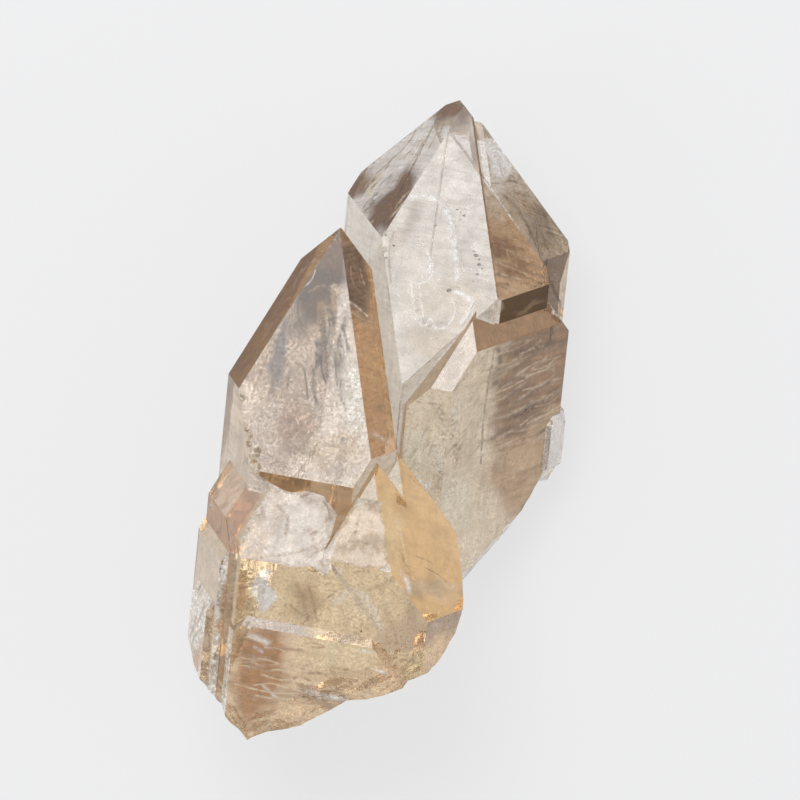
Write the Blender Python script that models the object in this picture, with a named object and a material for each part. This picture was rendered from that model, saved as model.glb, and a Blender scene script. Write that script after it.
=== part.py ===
import math

import bmesh
import bpy
from mathutils import Matrix, Vector, noise

# The solids are cut in millimetres, because Booleans lose fine edges in metres, and scaled at the end
METRES_PER_MM = 0.001

# Habit of the crystal: six prism faces along the long axis, and six pyramid faces that close the tip
PRISM_SLOPE = 90.0
PYRAMID_SLOPE = 51.8

# Every crystal of the cluster grew in this one direction, as degrees in the resting frame
AXIS_LEAN_RIGHT = 5.9
AXIS_RISE = 23.3
SPIN = 10.2

# Blocks that the crystals are cut from, and how far a cutter reaches
BLANK_SIDE = 300.0
BUTT_DISTANCE = 50.0
BUTT_STEP = 0.37
CUTTER_REACH = 70.0

# Distances of the faces from the heart of the cluster in millimetres. A name holds the kind of face,
# p for pyramid and m for prism, and its degrees round the axis
POINT = {
    "p0": 27.84, "p-60": 24.05, "p120": 35.24, "p-120": 28.33, "m-120": 9.16, "m-60": 5.83,
    "p60": 33.99, "m60": 22.05, "m120": 8.11, "m0": 23.51, "m40": 22.13, "p180": 32.97, "m180": 9.04,
}
BODY = {
    "p0": 27.66, "p-60": 23.8, "p-120": 28.1, "m-120": 8.9, "m-60": 5.6, "p60": 33.84, "m60": 22.23,
    "m180": 8.6, "m0": 23.3, "m40": 21.9, "p120": 31.04, "m120": 17.24, "p180": 31.6,
}
REAR = {
    "p-60": 22.6, "m-120": 8.2, "m-60": 4.9, "m180": 7.9, "p-120": 27.2, "p60": 32.85, "p0": 24.99,
    "p120": 35.82, "m60": 19.3, "m120": 22.15, "m0": 22.6, "p180": 31.03,
}
LEDGE = {
    "p0": 28.41, "p-60": 11.7, "p60": 31.62, "m60": 23.89, "m0": 23.68, "m120": 21.05, "p120": 28.36,
    "m-60": 5.1, "m180": 8.3, "p180": 26.5,
}
SECOND = {
    "p0": 30.71, "p-60": 29.7, "p60": 21.29, "p-120": 19.4, "m-120": 3.2, "m-60": 27.56, "m0": 35.76,
    "m60": 21.01, "p120": 11.16, "m120": -7.37, "p180": 11.95, "m180": 7.2,
}
STEP_LEFT = {
    "p0": 29.72, "p-60": 20.84, "m-60": 29.83, "m-120": -3.37, "p-120": 3.89, "p60": 15.13,
    "m0": 42.3, "m60": 29.97, "p120": -6.4, "m120": 5.41, "m180": 6.1, "p180": -9.0,
}
STEP_MIDDLE = {
    "p0": 30.1, "p-60": 12.79, "p60": 20.96, "m0": 41.59, "m60": 35.53, "p120": -4.26, "m120": 1.69,
    "m-60": 19.1, "m-120": -3.9, "p-120": 3.3, "m180": 5.6, "p180": -10.5,
}
LOBE = {
    "p0": 25.89, "p-60": 12.2, "p60": 20.4, "m0": 41.2, "m60": 35.1, "p120": -1.14, "m120": 1.2,
    "m-60": 9.23, "m180": 5.2, "p180": -16.0,
}
FOOT = {
    "p0": 24.08, "m0": 43.18, "p-60": 13.11, "m-60": 30.14, "m60": 38.66, "m-120": 1.6,
    "p-120": -8.32, "p60": 13.92, "p120": -5.32, "m120": 0.7, "m180": 4.4, "p180": -17.5,
}
SIDE_HIGH = {
    "p-60": 22.69, "m-60": 30.81, "p-120": 3.75, "m-120": -0.3, "m180": 5.0, "m0": 41.39,
    "m60": 28.6, "m120": 4.6, "p0": 28.76, "p60": 8.16, "p120": -19.97, "p180": -12.0,
}
SIDE_MIDDLE = {
    "p-60": 20.21, "m-60": 31.77, "p-120": 0.76, "m-120": 0.18, "m180": 4.1, "m0": 40.9,
    "m60": 28.2, "m120": 4.1, "p0": 28.3, "p60": 7.7, "p120": -20.5, "p180": -14.5,
}
SIDE_LOW = {
    "p-60": 15.83, "m-60": 32.77, "p-120": -6.18, "m-120": -1.68, "m180": 3.6, "m0": 40.5,
    "m60": 27.8, "m120": 3.7, "p0": 27.9, "p60": 7.3, "p120": -21.0, "p180": -17.0,
}
BUD = {
    "p0": 7.3, "p-60": -11.0, "p60": 22.7, "m0": 5.2, "m-60": -17.6, "p120": 21.22, "m60": 24.6,
    "m120": 21.88, "p-120": -11.59, "p180": 3.88, "m180": 3.72,
}
UPPER = (POINT, BODY, REAR, LEDGE, SECOND)
LOWER = (STEP_LEFT, STEP_MIDDLE, LOBE, FOOT, SIDE_HIGH, SIDE_MIDDLE, SIDE_LOW)

# Breaks: where each broken side stands, which way it faces in the plan, and how far it undercuts
WAIST = {"at": (14.3, -19.4, 20.0), "faces": -44.3, "undercut": 0.0}
FLANK = {"at": (20.2, -12.1, 12.0), "faces": -34.7, "undercut": 0.0}
SIDE = {"at": (9.7, -27.5, 25.0), "faces": -17.6, "undercut": 0.15}
HEEL = {"at": (4.7, -35.6, 26.0), "faces": -56.0, "undercut": 0.2}
TOE = {"at": (-9.1, -41.4, 27.0), "faces": -67.3, "undercut": 0.2}
CORNER = {"at": (-21.8, -40.4, 24.0), "faces": -145.6, "undercut": 0.15}
BUD_END = {"at": (23.3, -8.1, 12.0), "faces": -66.3, "undercut": 0.0}

# Roughness of the broken sides
BREAK_CELLS = 54
BREAK_WIDTH = 130.0
LUMP_SIZE = 9.0
LUMP_HEIGHT = 1.5
GRIT_SIZE = 3.6
GRIT_HEIGHT = 0.9

# Crust on the two bright step faces: face, distance in from it, centre, width, cells and height
CRUSTS = (
    {"face": "p0", "inset": 0.35, "at": (-12.6, -16.0, 0.0), "width": 13.0, "cells": 12, "height": 0.55},
    {"face": "p0", "inset": 0.3, "at": (-1.8, -17.0, 0.0), "width": 11.0, "cells": 10, "height": 0.5},
)
CRUST_SIZE = 2.4

# Shell-shaped scoops in the broken sides: centre and radius
SCOOPS = (
    ((1.6, -44.6, 27.5), 7.0), ((-5.0, -46.5, 24.0), 5.2), ((-12.5, -52.6, 22.0), 9.0),
    ((-1.5, -44.2, 14.5), 8.2), ((14.8, -35.5, 21.0), 6.0), ((19.2, -26.8, 15.5), 7.4),
    ((26.2, -13.6, 7.0), 5.0), ((-27.4, -38.2, 14.0), 6.4), ((12.2, -40.0, 8.0), 9.5),
)
SCOOP_ROUNDNESS = 3

# Small chips off the edges and corners, and shallow flakes off the faces: centre and radius
CHIPS = (
    ((-18.5, -2.7, 31.3), 0.9), ((-17.8, -4.9, 32.1), 1.2), ((-17.4, -7.1, 32.8), 1.0),
    ((-19.4, 2.6, 29.5), 0.7), ((0.3, 25.9, 22.3), 0.8), ((0.3, 23.4, 23.2), 0.9),
    ((12.1, 43.5, 18.7), 0.6), ((15.6, 40.5, 15.8), 0.7), ((-6.1, 26.4, 24.3), 0.6),
    ((14.1, 38.7, 20.1), 0.6), ((-18.9, -18.4, 34.8), 0.8), ((0.5, -20.0, 38.1), 1.0),
    ((-7.9, -20.1, 36.6), 1.0), ((-18.4, -29.0, 31.8), 0.8), ((24.5, 14.9, 17.3), 0.8),
    ((25.9, 18.0, 12.4), 1.1), ((-24.3, -12.5, 25.5), 0.9), ((-26.4, -18.1, 22.9), 1.1),
    ((-27.4, -28.6, 21.4), 1.1), ((0.4, -24.8, 43.0), 6.0), ((12.9, -17.6, 42.5), 12.0),
    ((-9.5, -38.5, 41.5), 9.2), ((15.6, -24.0, 37.5), 7.5),
)
CHIP_ROUNDNESS = 2

# The lowest flat break, which the cluster rests on
FLOOR_LEVEL = 0.0


def unit_axes():
    """The long axis and the two directions across it that the face angles are counted from."""
    lean = math.radians(AXIS_LEAN_RIGHT)
    rise = math.radians(AXIS_RISE)
    flat = Vector((math.sin(lean), math.cos(lean), 0.0))
    axis = flat * math.cos(rise) + Vector((0.0, 0.0, math.sin(rise)))
    level = axis.cross(Vector((0.0, 0.0, 1.0))).normalized()
    front = level.cross(axis).normalized()
    turn = Matrix.Rotation(math.radians(-SPIN), 3, axis)
    return axis, turn @ front, turn @ level


AXIS, FRONT, RIGHT = unit_axes()


def face_normal(name):
    """Outward direction of a face from its name, such as p-60 or m120."""
    round_axis = math.radians(float(name[1:]))
    slope = math.radians(PYRAMID_SLOPE if name[0] == "p" else PRISM_SLOPE)
    across = FRONT * math.cos(round_axis) + RIGHT * math.sin(round_axis)
    return (across * math.sin(slope) + AXIS * math.cos(slope)).normalized()


def new_object(name, bm, collection):
    mesh = bpy.data.meshes.new(name)
    bm.to_mesh(mesh)
    bm.free()
    obj = bpy.data.objects.new(name, mesh)
    collection.objects.link(obj)
    return obj


def cut(bm, point, normal):
    """Saws off all that lies beyond a plane and closes the cut with one flat face."""
    everything = bm.verts[:] + bm.edges[:] + bm.faces[:]
    sawn = bmesh.ops.bisect_plane(
        bm, geom=everything, plane_co=point, plane_no=normal, clear_outer=True, dist=1e-6
    )
    rim = [part for part in sawn["geom_cut"] if isinstance(part, bmesh.types.BMEdge)]
    if rim:
        bmesh.ops.contextual_create(bm, geom=rim)


def crystal(name, distances, collection):
    """One crystal, sawn from a block by its faces."""
    bm = bmesh.new()
    bmesh.ops.create_cube(bm, size=BLANK_SIDE)
    for face, distance in distances.items():
        normal = face_normal(face)
        cut(bm, normal * distance, normal)
    # Each blank ends a little further down than the last, so that no two ends lie in one plane
    cut(bm, -AXIS * (BUTT_DISTANCE + BUTT_STEP * len(bpy.data.objects)), -AXIS)
    bmesh.ops.recalc_face_normals(bm, faces=bm.faces[:])
    return new_object(name, bm, collection)


def break_axes(spec):
    """Which way a broken side faces, and the two directions along it."""
    turn = math.radians(spec["faces"])
    outward = Vector((math.cos(turn), math.sin(turn), -spec["undercut"])).normalized()
    along = Vector((-math.sin(turn), math.cos(turn), 0.0))
    return outward, along, outward.cross(along)


def lumpy_cutter(name, centre, axes, width, cells, lumps, seed, collection):
    """A block with one lumpy side, which takes away all that lies beyond that side."""
    outward, along, up = axes
    bm = bmesh.new()
    bmesh.ops.create_grid(bm, x_segments=cells, y_segments=cells, size=width / 2)
    shift = Vector((7.3, 3.1, 1.7)) * seed
    for vert in bm.verts:
        place = centre + along * vert.co.x + up * vert.co.y
        swell = sum(noise.noise(place / size + shift) * height for size, height in lumps)
        vert.co = place + outward * swell
    grown = bmesh.ops.extrude_face_region(bm, geom=bm.faces[:])
    for part in grown["geom"]:
        if isinstance(part, bmesh.types.BMVert):
            part.co += outward * CUTTER_REACH
    bmesh.ops.recalc_face_normals(bm, faces=bm.faces[:])
    return new_object(name, bm, collection)


def break_cutter(name, spec, seed, collection):
    lumps = ((LUMP_SIZE, LUMP_HEIGHT), (GRIT_SIZE, GRIT_HEIGHT))
    centre = Vector(spec["at"])
    return lumpy_cutter(
        name, centre, break_axes(spec), BREAK_WIDTH, BREAK_CELLS, lumps, seed, collection
    )


def crust_cutter(name, crystal_faces, spec, seed, collection):
    """Takes a thin uneven skin off one face of a crystal."""
    outward = face_normal(spec["face"])
    centre = Vector(spec["at"])
    gap = (crystal_faces[spec["face"]] - spec["inset"]) - outward.dot(centre)
    centre += Vector((0.0, 0.0, gap / outward.z))
    along = outward.cross(AXIS).normalized()
    lumps = ((CRUST_SIZE, spec["height"]),)
    return lumpy_cutter(
        name, centre, (outward, along, outward.cross(along)), spec["width"], spec["cells"],
        lumps, seed, collection
    )


def scoop_cutter(name, centre, radius, roundness, collection):
    bm = bmesh.new()
    bmesh.ops.create_icosphere(bm, subdivisions=roundness, radius=radius)
    bmesh.ops.translate(bm, verts=bm.verts[:], vec=Vector(centre))
    return new_object(name, bm, collection)


def floor_cutter(collection):
    bm = bmesh.new()
    bmesh.ops.create_cube(bm, size=BLANK_SIDE)
    drop = Vector((0.0, 0.0, (FLOOR_LEVEL - BLANK_SIDE / 2)))
    bmesh.ops.translate(bm, verts=bm.verts[:], vec=drop)
    return new_object("floor_cutter", bm, collection)


def combine(target, other, operation):
    step = target.modifiers.new(f"{operation.lower()}_{other.name}", "BOOLEAN")
    step.operation = operation
    step.solver = "EXACT"
    step.object = other


def settle(obj):
    """Replaces the mesh by the one that the modifiers make."""
    graph = bpy.context.evaluated_depsgraph_get()
    shape = bpy.data.meshes.new_from_object(obj.evaluated_get(graph))
    obj.modifiers.clear()
    obj.data = shape


def centre_on_floor(obj):
    """Puts the origin under the middle of the cluster."""
    corners = [vert.co for vert in obj.data.vertices]
    low = Vector([min(corner[i] for corner in corners) for i in range(3)])
    high = Vector([max(corner[i] for corner in corners) for i in range(3)])
    middle = Vector(((low.x + high.x) / 2, (low.y + high.y) / 2, low.z))
    obj.data.transform(Matrix.Translation(-middle))
    obj.data.transform(Matrix.Scale(METRES_PER_MM, 4))
    print("moved by mm", [round(-value, 3) for value in middle])


def quartz():
    material = bpy.data.materials.new("citrine_quartz")
    material.use_nodes = True
    shader = material.node_tree.nodes["Principled BSDF"]
    shader.inputs["Base Color"].default_value = (0.86, 0.74, 0.55, 1.0)
    shader.inputs["Roughness"].default_value = 0.04
    shader.inputs["IOR"].default_value = 1.544
    shader.inputs["Transmission Weight"].default_value = 1.0
    return material


def main():
    for obj in list(bpy.data.objects):
        bpy.data.objects.remove(obj, do_unlink=True)
    parts = bpy.data.collections.new("citrine_cluster")
    tools = bpy.data.collections.new("cutters")
    tools.hide_render = True
    for collection in (parts, tools):
        bpy.context.scene.collection.children.link(collection)

    # Upper crystals grown into one, and their broken right side
    cluster = crystal("crystal_cluster", UPPER[0], parts)
    for i, distances in enumerate(UPPER[1:]):
        combine(cluster, crystal(f"upper_{i}", distances, tools), "UNION")
    for name, spec, seed in (("waist", WAIST, 1), ("flank", FLANK, 2)):
        combine(cluster, break_cutter(name, spec, seed, tools), "DIFFERENCE")

    # Stepped crystals of the base, and their broken side
    base = crystal("base", LOWER[0], tools)
    combine(base, crust_cutter("crust_left", LOWER[0], CRUSTS[0], 8, tools), "DIFFERENCE")
    for i, distances in enumerate(LOWER[1:]):
        step = crystal(f"lower_{i}", distances, tools)
        if distances is STEP_MIDDLE:
            skin = crust_cutter("crust_middle", distances, CRUSTS[1], 9, tools)
            combine(step, skin, "DIFFERENCE")
        combine(base, step, "UNION")
    combine(base, break_cutter("side", SIDE, 3, tools), "DIFFERENCE")
    combine(cluster, base, "UNION")

    # Breaks across the foot of the whole cluster, with their scoops
    for name, spec, seed in (("heel", HEEL, 4), ("toe", TOE, 5), ("corner", CORNER, 6)):
        combine(cluster, break_cutter(name, spec, seed, tools), "DIFFERENCE")
    for i, (centre, radius) in enumerate(SCOOPS):
        scoop = scoop_cutter(f"scoop_{i}", centre, radius, SCOOP_ROUNDNESS, tools)
        combine(cluster, scoop, "DIFFERENCE")
    for i, (centre, radius) in enumerate(CHIPS):
        chip = scoop_cutter(f"chip_{i}", centre, radius, CHIP_ROUNDNESS, tools)
        combine(cluster, chip, "DIFFERENCE")

    # Small bud on the right flank
    bud = crystal("bud", BUD, tools)
    combine(bud, break_cutter("bud_end", BUD_END, 7, tools), "DIFFERENCE")
    combine(cluster, bud, "UNION")

    # Flat break that it rests on
    combine(cluster, floor_cutter(tools), "DIFFERENCE")
    settle(cluster)
    centre_on_floor(cluster)
    cluster.data.materials.clear()
    cluster.data.materials.append(quartz())
    for obj in tools.objects:
        obj.hide_render = True
        obj.display_type = "WIRE"


main()
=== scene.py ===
# %% [markdown]
# # A cluster of smoky, honey-yellow quartz points
# The specimen is one stone: several pointed quartz crystals that grew side by side, all in the same
# direction, and into one another. It lies on a table, and the camera looks straight down on it. Clear
# stone shows light that came through it, so most of this lesson is about the skin of the stone and the
# small things inside it that catch light.

# %% Load the frame
import math
import random
import time

import bmesh
import bpy
import numpy as np
from mathutils import Matrix, Vector, noise
from mathutils.bvhtree import BVHTree
from mathutils.geometry import delaunay_2d_cdt


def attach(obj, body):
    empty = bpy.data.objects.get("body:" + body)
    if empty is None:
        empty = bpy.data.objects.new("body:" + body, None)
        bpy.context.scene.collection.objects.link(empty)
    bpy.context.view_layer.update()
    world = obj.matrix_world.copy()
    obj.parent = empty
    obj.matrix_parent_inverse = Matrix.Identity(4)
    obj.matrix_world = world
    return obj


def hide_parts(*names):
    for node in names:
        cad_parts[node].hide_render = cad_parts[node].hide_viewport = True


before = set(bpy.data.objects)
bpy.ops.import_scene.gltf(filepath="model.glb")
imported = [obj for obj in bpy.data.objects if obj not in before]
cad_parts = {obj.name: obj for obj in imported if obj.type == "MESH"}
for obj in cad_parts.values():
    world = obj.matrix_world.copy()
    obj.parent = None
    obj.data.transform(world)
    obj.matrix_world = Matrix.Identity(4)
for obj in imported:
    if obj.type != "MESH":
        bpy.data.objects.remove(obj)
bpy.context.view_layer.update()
scene = bpy.context.scene

# %% [markdown]
# Quartz is built on a six-sided plan, so a few directions describe every flat face of the stone. The
# long axis leans to the right and rises towards the viewer. Prism faces lie along it, and pyramid faces
# cross it at a slope of 51.8 degrees. A face is named p or m, for pyramid or prism, and by its angle
# round the axis, which keeps the later steps readable.

# %% Directions of the crystal
MM = 0.001
AXIS_LEAN_RIGHT = 5.9
AXIS_RISE = 23.3
SPIN = 10.2
SLOPES = {"p": 51.8, "m": 90.0}

lean, rise = math.radians(AXIS_LEAN_RIGHT), math.radians(AXIS_RISE)
AXIS = Vector((math.sin(lean) * math.cos(rise), math.cos(lean) * math.cos(rise), math.sin(rise)))
level = AXIS.cross(Vector((0, 0, 1))).normalized()
turn = Matrix.Rotation(math.radians(-SPIN), 3, AXIS)
FRONT, RIGHT = turn @ level.cross(AXIS), turn @ level


def face_direction(name):
    """Outward direction of a face from its name, such as p-60 or m120."""
    angle, slope = math.radians(float(name[1:])), math.radians(SLOPES[name[0]])
    return (FRONT * math.cos(angle) + RIGHT * math.sin(angle)) * math.sin(slope) + AXIS * math.cos(slope)


FAMILIES = {
    f"{kind}{angle}": face_direction(f"{kind}{angle}") for kind in "pm" for angle in range(-120, 181, 60)
}
print("face families:", {name: [round(part, 2) for part in way] for name, way in FAMILIES.items()})

# %% [markdown]
# The photograph is the map of this stone, so places on it are given as the photograph's own pixels. One
# pixel is 0.14 mm of stone. One helper turns a pixel into metres on the table, and the other reads a
# line of pixels.

# %% From a pixel to a place
PIXEL = 0.14 * MM
HEART_PIXEL = (381, 416)
HEART = (0.256 * MM, 0.428 * MM)


def place(across, down, height=0.0):
    """The point of the scene under a pixel of the photograph, at a height in millimetres."""
    return Vector((
        (across - HEART_PIXEL[0]) * PIXEL + HEART[0], (HEART_PIXEL[1] - down) * PIXEL + HEART[1], height * MM
    ))


def pixels(line):
    """The pixels in a line of text such as 412,197 426,196."""
    return [tuple(int(part) for part in pair.split(",")) for pair in line.split()]


print("the main tip lies near", place(456.6, 95.2))

# %% [markdown]
# A long lens far away keeps parallel edges parallel, as in the photograph, where the stone is small in
# the picture. The camera looks straight down, with the stone's length up the picture.

# %% The camera
PICTURE = 800
CAMERA_DISTANCE = 1500 * MM
SENSOR = 36.0
EYE_LEVEL = 20.0

camera_data = bpy.data.cameras.new("camera")
camera_data.sensor_width = SENSOR
camera_data.lens = SENSOR * CAMERA_DISTANCE / (PICTURE * PIXEL)
camera = bpy.data.objects.new("camera", camera_data)
camera.location = place(PICTURE / 2, PICTURE / 2, EYE_LEVEL) + Vector((0, 0, CAMERA_DISTANCE))
scene.collection.objects.link(camera)
scene.camera = camera
print("lens in mm:", round(camera_data.lens), "camera at", camera.location)

# %% [markdown]
# The floor is a plain pale sheet that glows softly, so that light also comes up through the stone, as it
# does in the photograph from the pale background. Its gap to the stone is thinner than a hair: two
# surfaces in exactly one plane would fight over which of them a ray meets first.

# %% The floor
FLOOR_WIDTH = 5.0
FLOOR_GAP = 0.05 * MM
FLOOR_COLOUR = (0.20, 0.20, 0.20)
GLOW_COLOUR, GLOW = (0.99, 0.99, 1.0), 0.66


def plain_material(name, colour, roughness):
    """A material of one colour that isn't see-through."""
    material = bpy.data.materials.new(name)
    material.use_nodes = True
    shader = material.node_tree.nodes["Principled BSDF"]
    shader.inputs["Base Color"].default_value = (*colour, 1)
    shader.inputs["Roughness"].default_value = roughness
    return material


bm = bmesh.new()
bmesh.ops.create_grid(bm, x_segments=2, y_segments=2, size=FLOOR_WIDTH / 2)
floor_mesh = bpy.data.meshes.new("floor")
bm.to_mesh(floor_mesh)
bm.free()
floor_material = plain_material("pale_floor", FLOOR_COLOUR, 0.6)
floor_shader = floor_material.node_tree.nodes["Principled BSDF"]
floor_shader.inputs["Emission Color"].default_value = (*GLOW_COLOUR, 1)
floor_shader.inputs["Emission Strength"].default_value = GLOW
floor_mesh.materials.append(floor_material)
floor = bpy.data.objects.new("floor", floor_mesh)
floor.location.z = -FLOOR_GAP
scene.collection.objects.link(floor)
print("floor", FLOOR_WIDTH, "m wide")

# %% [markdown]
# Soft light from all round, and one large lamp above the tips. Its reflection lies on the faces that
# look up the picture, and gives them their pale sheen.

# %% The light
SKY = (0.86, 0.87, 0.89)
SKY_STRENGTH = 0.62
BOUNCES = 14

world = bpy.data.worlds.new("studio")
world.use_nodes = True
world.node_tree.nodes["Background"].inputs["Color"].default_value = (*SKY, 1)
world.node_tree.nodes["Background"].inputs["Strength"].default_value = SKY_STRENGTH
scene.world = world


def soft_lamp(name, towards, distance, size, power):
    """A square lamp that shines on the stone from a direction."""
    data = bpy.data.lights.new(name, "AREA")
    data.size, data.energy = size, power
    lamp = bpy.data.objects.new(name, data)
    lamp.location = Vector(towards).normalized() * distance
    lamp.rotation_mode = "QUATERNION"
    lamp.rotation_quaternion = Vector(towards).to_track_quat("Z", "Y")
    scene.collection.objects.link(lamp)
    return lamp


soft_lamp("key", (-0.21, 0.52, 0.82), 1.0, 0.6, 4.2)
soft_lamp("fill", (-0.9, -0.5, 0.6), 1.0, 0.4, 0.8)
soft_lamp("rim", (1.0, -0.1, 0.35), 1.0, 0.3, 0.6)
scene.view_settings.view_transform = "Standard"
for kind in ("max", "transmission", "glossy"):
    setattr(scene.cycles, kind + "_bounces", BOUNCES)
print("lamps:", [light.name for light in bpy.data.lights])

# %% [markdown]
# The stone's shape comes from the CAD node, which is never changed: its mesh is copied to a new object.
# The copy is made of triangles. Joining those that lie in one plane gives back the real faces, so that
# each can be found and finished on its own.

# %% Copy the stone
WELD = 0.002 * MM
FLAT_ANGLE = math.radians(0.6)

stone_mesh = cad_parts["crystal_cluster"].data.copy()
stone_mesh.materials.clear()
bm = bmesh.new()
bm.from_mesh(stone_mesh)
bmesh.ops.remove_doubles(bm, verts=bm.verts, dist=WELD)
bmesh.ops.dissolve_limit(bm, angle_limit=FLAT_ANGLE, verts=bm.verts, edges=bm.edges)
print("stone:", len(bm.verts), "points and", len(bm.faces), "faces")

# %% [markdown]
# A face belongs to a family when it looks the same way. What matches none is a break.

# %% Sort the faces
SAME_WAY = math.cos(math.radians(1.2))
SMALLEST_FACE = 1.5 * MM * MM


def family_of(face):
    """The family of a face, or break or rest."""
    if face.calc_area() < SMALLEST_FACE:
        return "break"
    if face.normal.z < -SAME_WAY:
        return "rest"
    best = max(FAMILIES, key=lambda name: FAMILIES[name].dot(face.normal))
    return best if FAMILIES[best].dot(face.normal) > SAME_WAY else "break"


family = {face.index: family_of(face) for face in bm.faces}
kinds = list(family.values())
print("faces of each family:", {name: kinds.count(name) for name in sorted(set(kinds))})

# %% [markdown]
# Each finish of the real stone is a few numbers: its tint, how milky it is (the share of light that small
# cracks scatter), how rough, how speckled, how strong the streaks across and along the crystal are, and
# how crazed with fine bright lines. One material will read them. It has to be one material: light that
# entered the stone by one material and left by another would still be counted as inside it, and would
# fade to nothing outside.

# %% The finishes
FINISHES = {
    #                tint                milk  rough speck cross along craze
    "tip_front":    ((0.80, 0.73, 0.66), 0.22, 0.00, 0.10, 0.2, 0.1, 0.0),
    "tip_small":    ((0.95, 0.88, 0.82), 0.20, 0.00, 0.40, 0.2, 0.4, 0.0),
    "tip_left":     ((1.00, 0.97, 0.94), 0.05, 0.00, 0.25, 0.2, 0.6, 0.0),
    "tip_right":    ((1.00, 0.97, 0.94), 0.08, 0.00, 0.50, 0.3, 0.7, 0.0),
    "tip_brown":    ((0.57, 0.28, 0.12), 0.04, 0.00, 0.40, 0.9, 0.2, 0.1),
    "tip_cap":      ((0.27, 0.12, 0.05), 0.04, 0.00, 0.40, 0.3, 0.3, 0.0),
    "step":         ((.022, .005, .000), 0.04, 0.55, 0.30, 0.2, 0.3, 0.0),
    "rim":          ((0.11, 0.055, 0.025), 0.06, 0.00, 0.50, 0.4, 1.0, 0.1),
    "ledge":        ((0.28, 0.12, 0.045), 0.10, 0.05, 0.20, 0.2, 0.4, 0.0),
    "ledge_left":   ((0.50, 0.34, 0.20), 0.15, 0.05, 0.40, 0.3, 0.6, 0.1),
    "ledge_pale":   ((0.95, 0.80, 0.68), 0.30, 0.05, 0.30, 0.1, 0.3, 0.2),
    "shoulder":     ((0.90, 0.70, 0.48), 0.18, 0.00, 0.60, 0.7, 0.6, 0.2),
    "shoulder_low": ((0.96, 0.78, 0.56), 0.34, 0.00, 0.50, 0.3, 0.6, 0.2),
    "gap":          ((1.00, 0.91, 0.78), 0.20, 0.00, 0.25, 0.2, 0.4, 0.1),
    "second_front": ((0.98, 0.80, 0.66), 0.30, 0.03, 0.80, 0.2, 0.9, 0.2),
    "second_bevel": ((0.23, 0.08, .008), 0.06, 0.00, 0.40, 0.2, 1.0, 0.1),
    "second_band":  ((0.94, 0.49, 0.22), 0.12, 0.04, 0.20, 0.2, 0.5, 0.1),
    "second_side":  ((0.79, 0.54, 0.37), 0.14, 0.00, 0.40, 0.2, 1.0, 0.1),
    "riser":        ((0.45, 0.22, 0.08), 0.10, 0.05, 0.40, 0.6, 0.3, 0.2),
    "bud":          ((0.96, 0.92, 0.92), 0.35, 0.10, 0.40, 0.3, 0.6, 0.1),
    "crust":        ((0.86, 0.75, 0.66), 0.60, 0.25, 0.20, 0.1, 0.2, 0.3),
    "crust_small":  ((0.78, 0.60, 0.42), 0.55, 0.22, 0.20, 0.1, 0.2, 0.3),
    "base_upper":   ((1.00, 0.75, 0.43), 0.43, 0.00, 0.60, 0.5, 0.5, 0.1),
    "base_lower":   ((1.00, 0.70, 0.42), 0.36, 0.04, 0.40, 0.7, 0.2, 0.2),
    "base_right":   ((0.84, 0.55, 0.31), 0.19, 0.06, 0.70, 0.6, 0.6, 0.3),
    "strip":        ((0.60, 0.46, 0.38), 0.50, 0.15, 0.50, 0.3, 0.3, 0.4),
    "lobe":         ((0.95, 0.53, 0.20), 0.24, 0.05, 0.15, 0.1, 0.2, 0.0),
    "steps":        ((0.43, 0.15, 0.035), 0.13, 0.04, 0.50, 0.6, 0.6, 0.2),
    "left_faces":   ((1.00, 0.97, 0.90), 0.80, 0.02, 0.60, 0.8, 0.6, 0.5),
    "front":        ((0.80, 0.62, 0.44), 0.14, 0.02, 0.50, 0.6, 0.4, 0.2),
    "rear":         ((0.99, 0.98, 0.96), 0.00, 0.00, 0.30, 1.0, 0.6, 0.0),
    "broken":       ((0.95, 0.87, 0.76), 0.16, 0.12, 0.60, 0.6, 0.4, 0.3),
    "rest":         ((0.99, 0.97, 0.92), 0.00, 0.05, 0.20, 0.6, 0.6, 0.0),
}
MEASURES = ("milk", "rough", "speck", "cross", "along", "craze")
NUMBERS = {name: number for number, name in enumerate(FINISHES)}
print("finishes:", NUMBERS)

# %% [markdown]
# The finishes are handed out by pointing: from above, each pixel of the photograph meets one face, and
# that face takes the finish.

# %% Hand out the finishes
POINTED_AT = {
    "tip_front": "440,249",
    "tip_small": "480,154",
    "tip_left": "402,169",
    "tip_right": "521,198",
    "tip_brown": "509,248",
    "tip_cap": "474,130",
    "step": "524,304",
    "ledge": "515,326",
    "ledge_left": "442,362",
    "ledge_pale": "458,361",
    "rim": "554,281 557,358",
    "shoulder": "498,446",
    "shoulder_low": "429,444",
    "gap": "362,300 385,330",
    "second_front": "309,379",
    "second_bevel": "281,309",
    "second_band": "368,348",
    "second_side": "223,503 229,488",
    "riser": "309,487 403,435 374,471 351,506",
    "bud": "547,449 557,445 560,415",
    "crust_small": "384,610",
    "base_upper": "301,600 384,610",
    "base_lower": "301,678",
    "base_right": "439,637 389,660",
    "strip": "307,630",
    "lobe": "414,548 430,515",
    "steps": "215,527 241,517 221,518",
    "left_faces": "206,603 199,639 221,586 228,668 195,615",
}
HIGH = 60.0
CRUST_PATCHES = {"crust": (246, 482, 333, 566), "crust_small": (330, 503, 392, 567)}
CRUST_HEIGHT = 30 * MM
CRUST_TILT = 0.7


def crust_of(face):
    """The name of the rough patch on top of a step that a face belongs to, if any."""
    spot = face.calc_center_median()
    for name, (left, top, right, bottom) in CRUST_PATCHES.items():
        low, high = place(left, bottom), place(right, top)
        inside = low.x < spot.x < high.x and low.y < spot.y < high.y
        if inside and face.normal.z > CRUST_TILT and spot.z > CRUST_HEIGHT:
            return name
    return None


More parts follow.
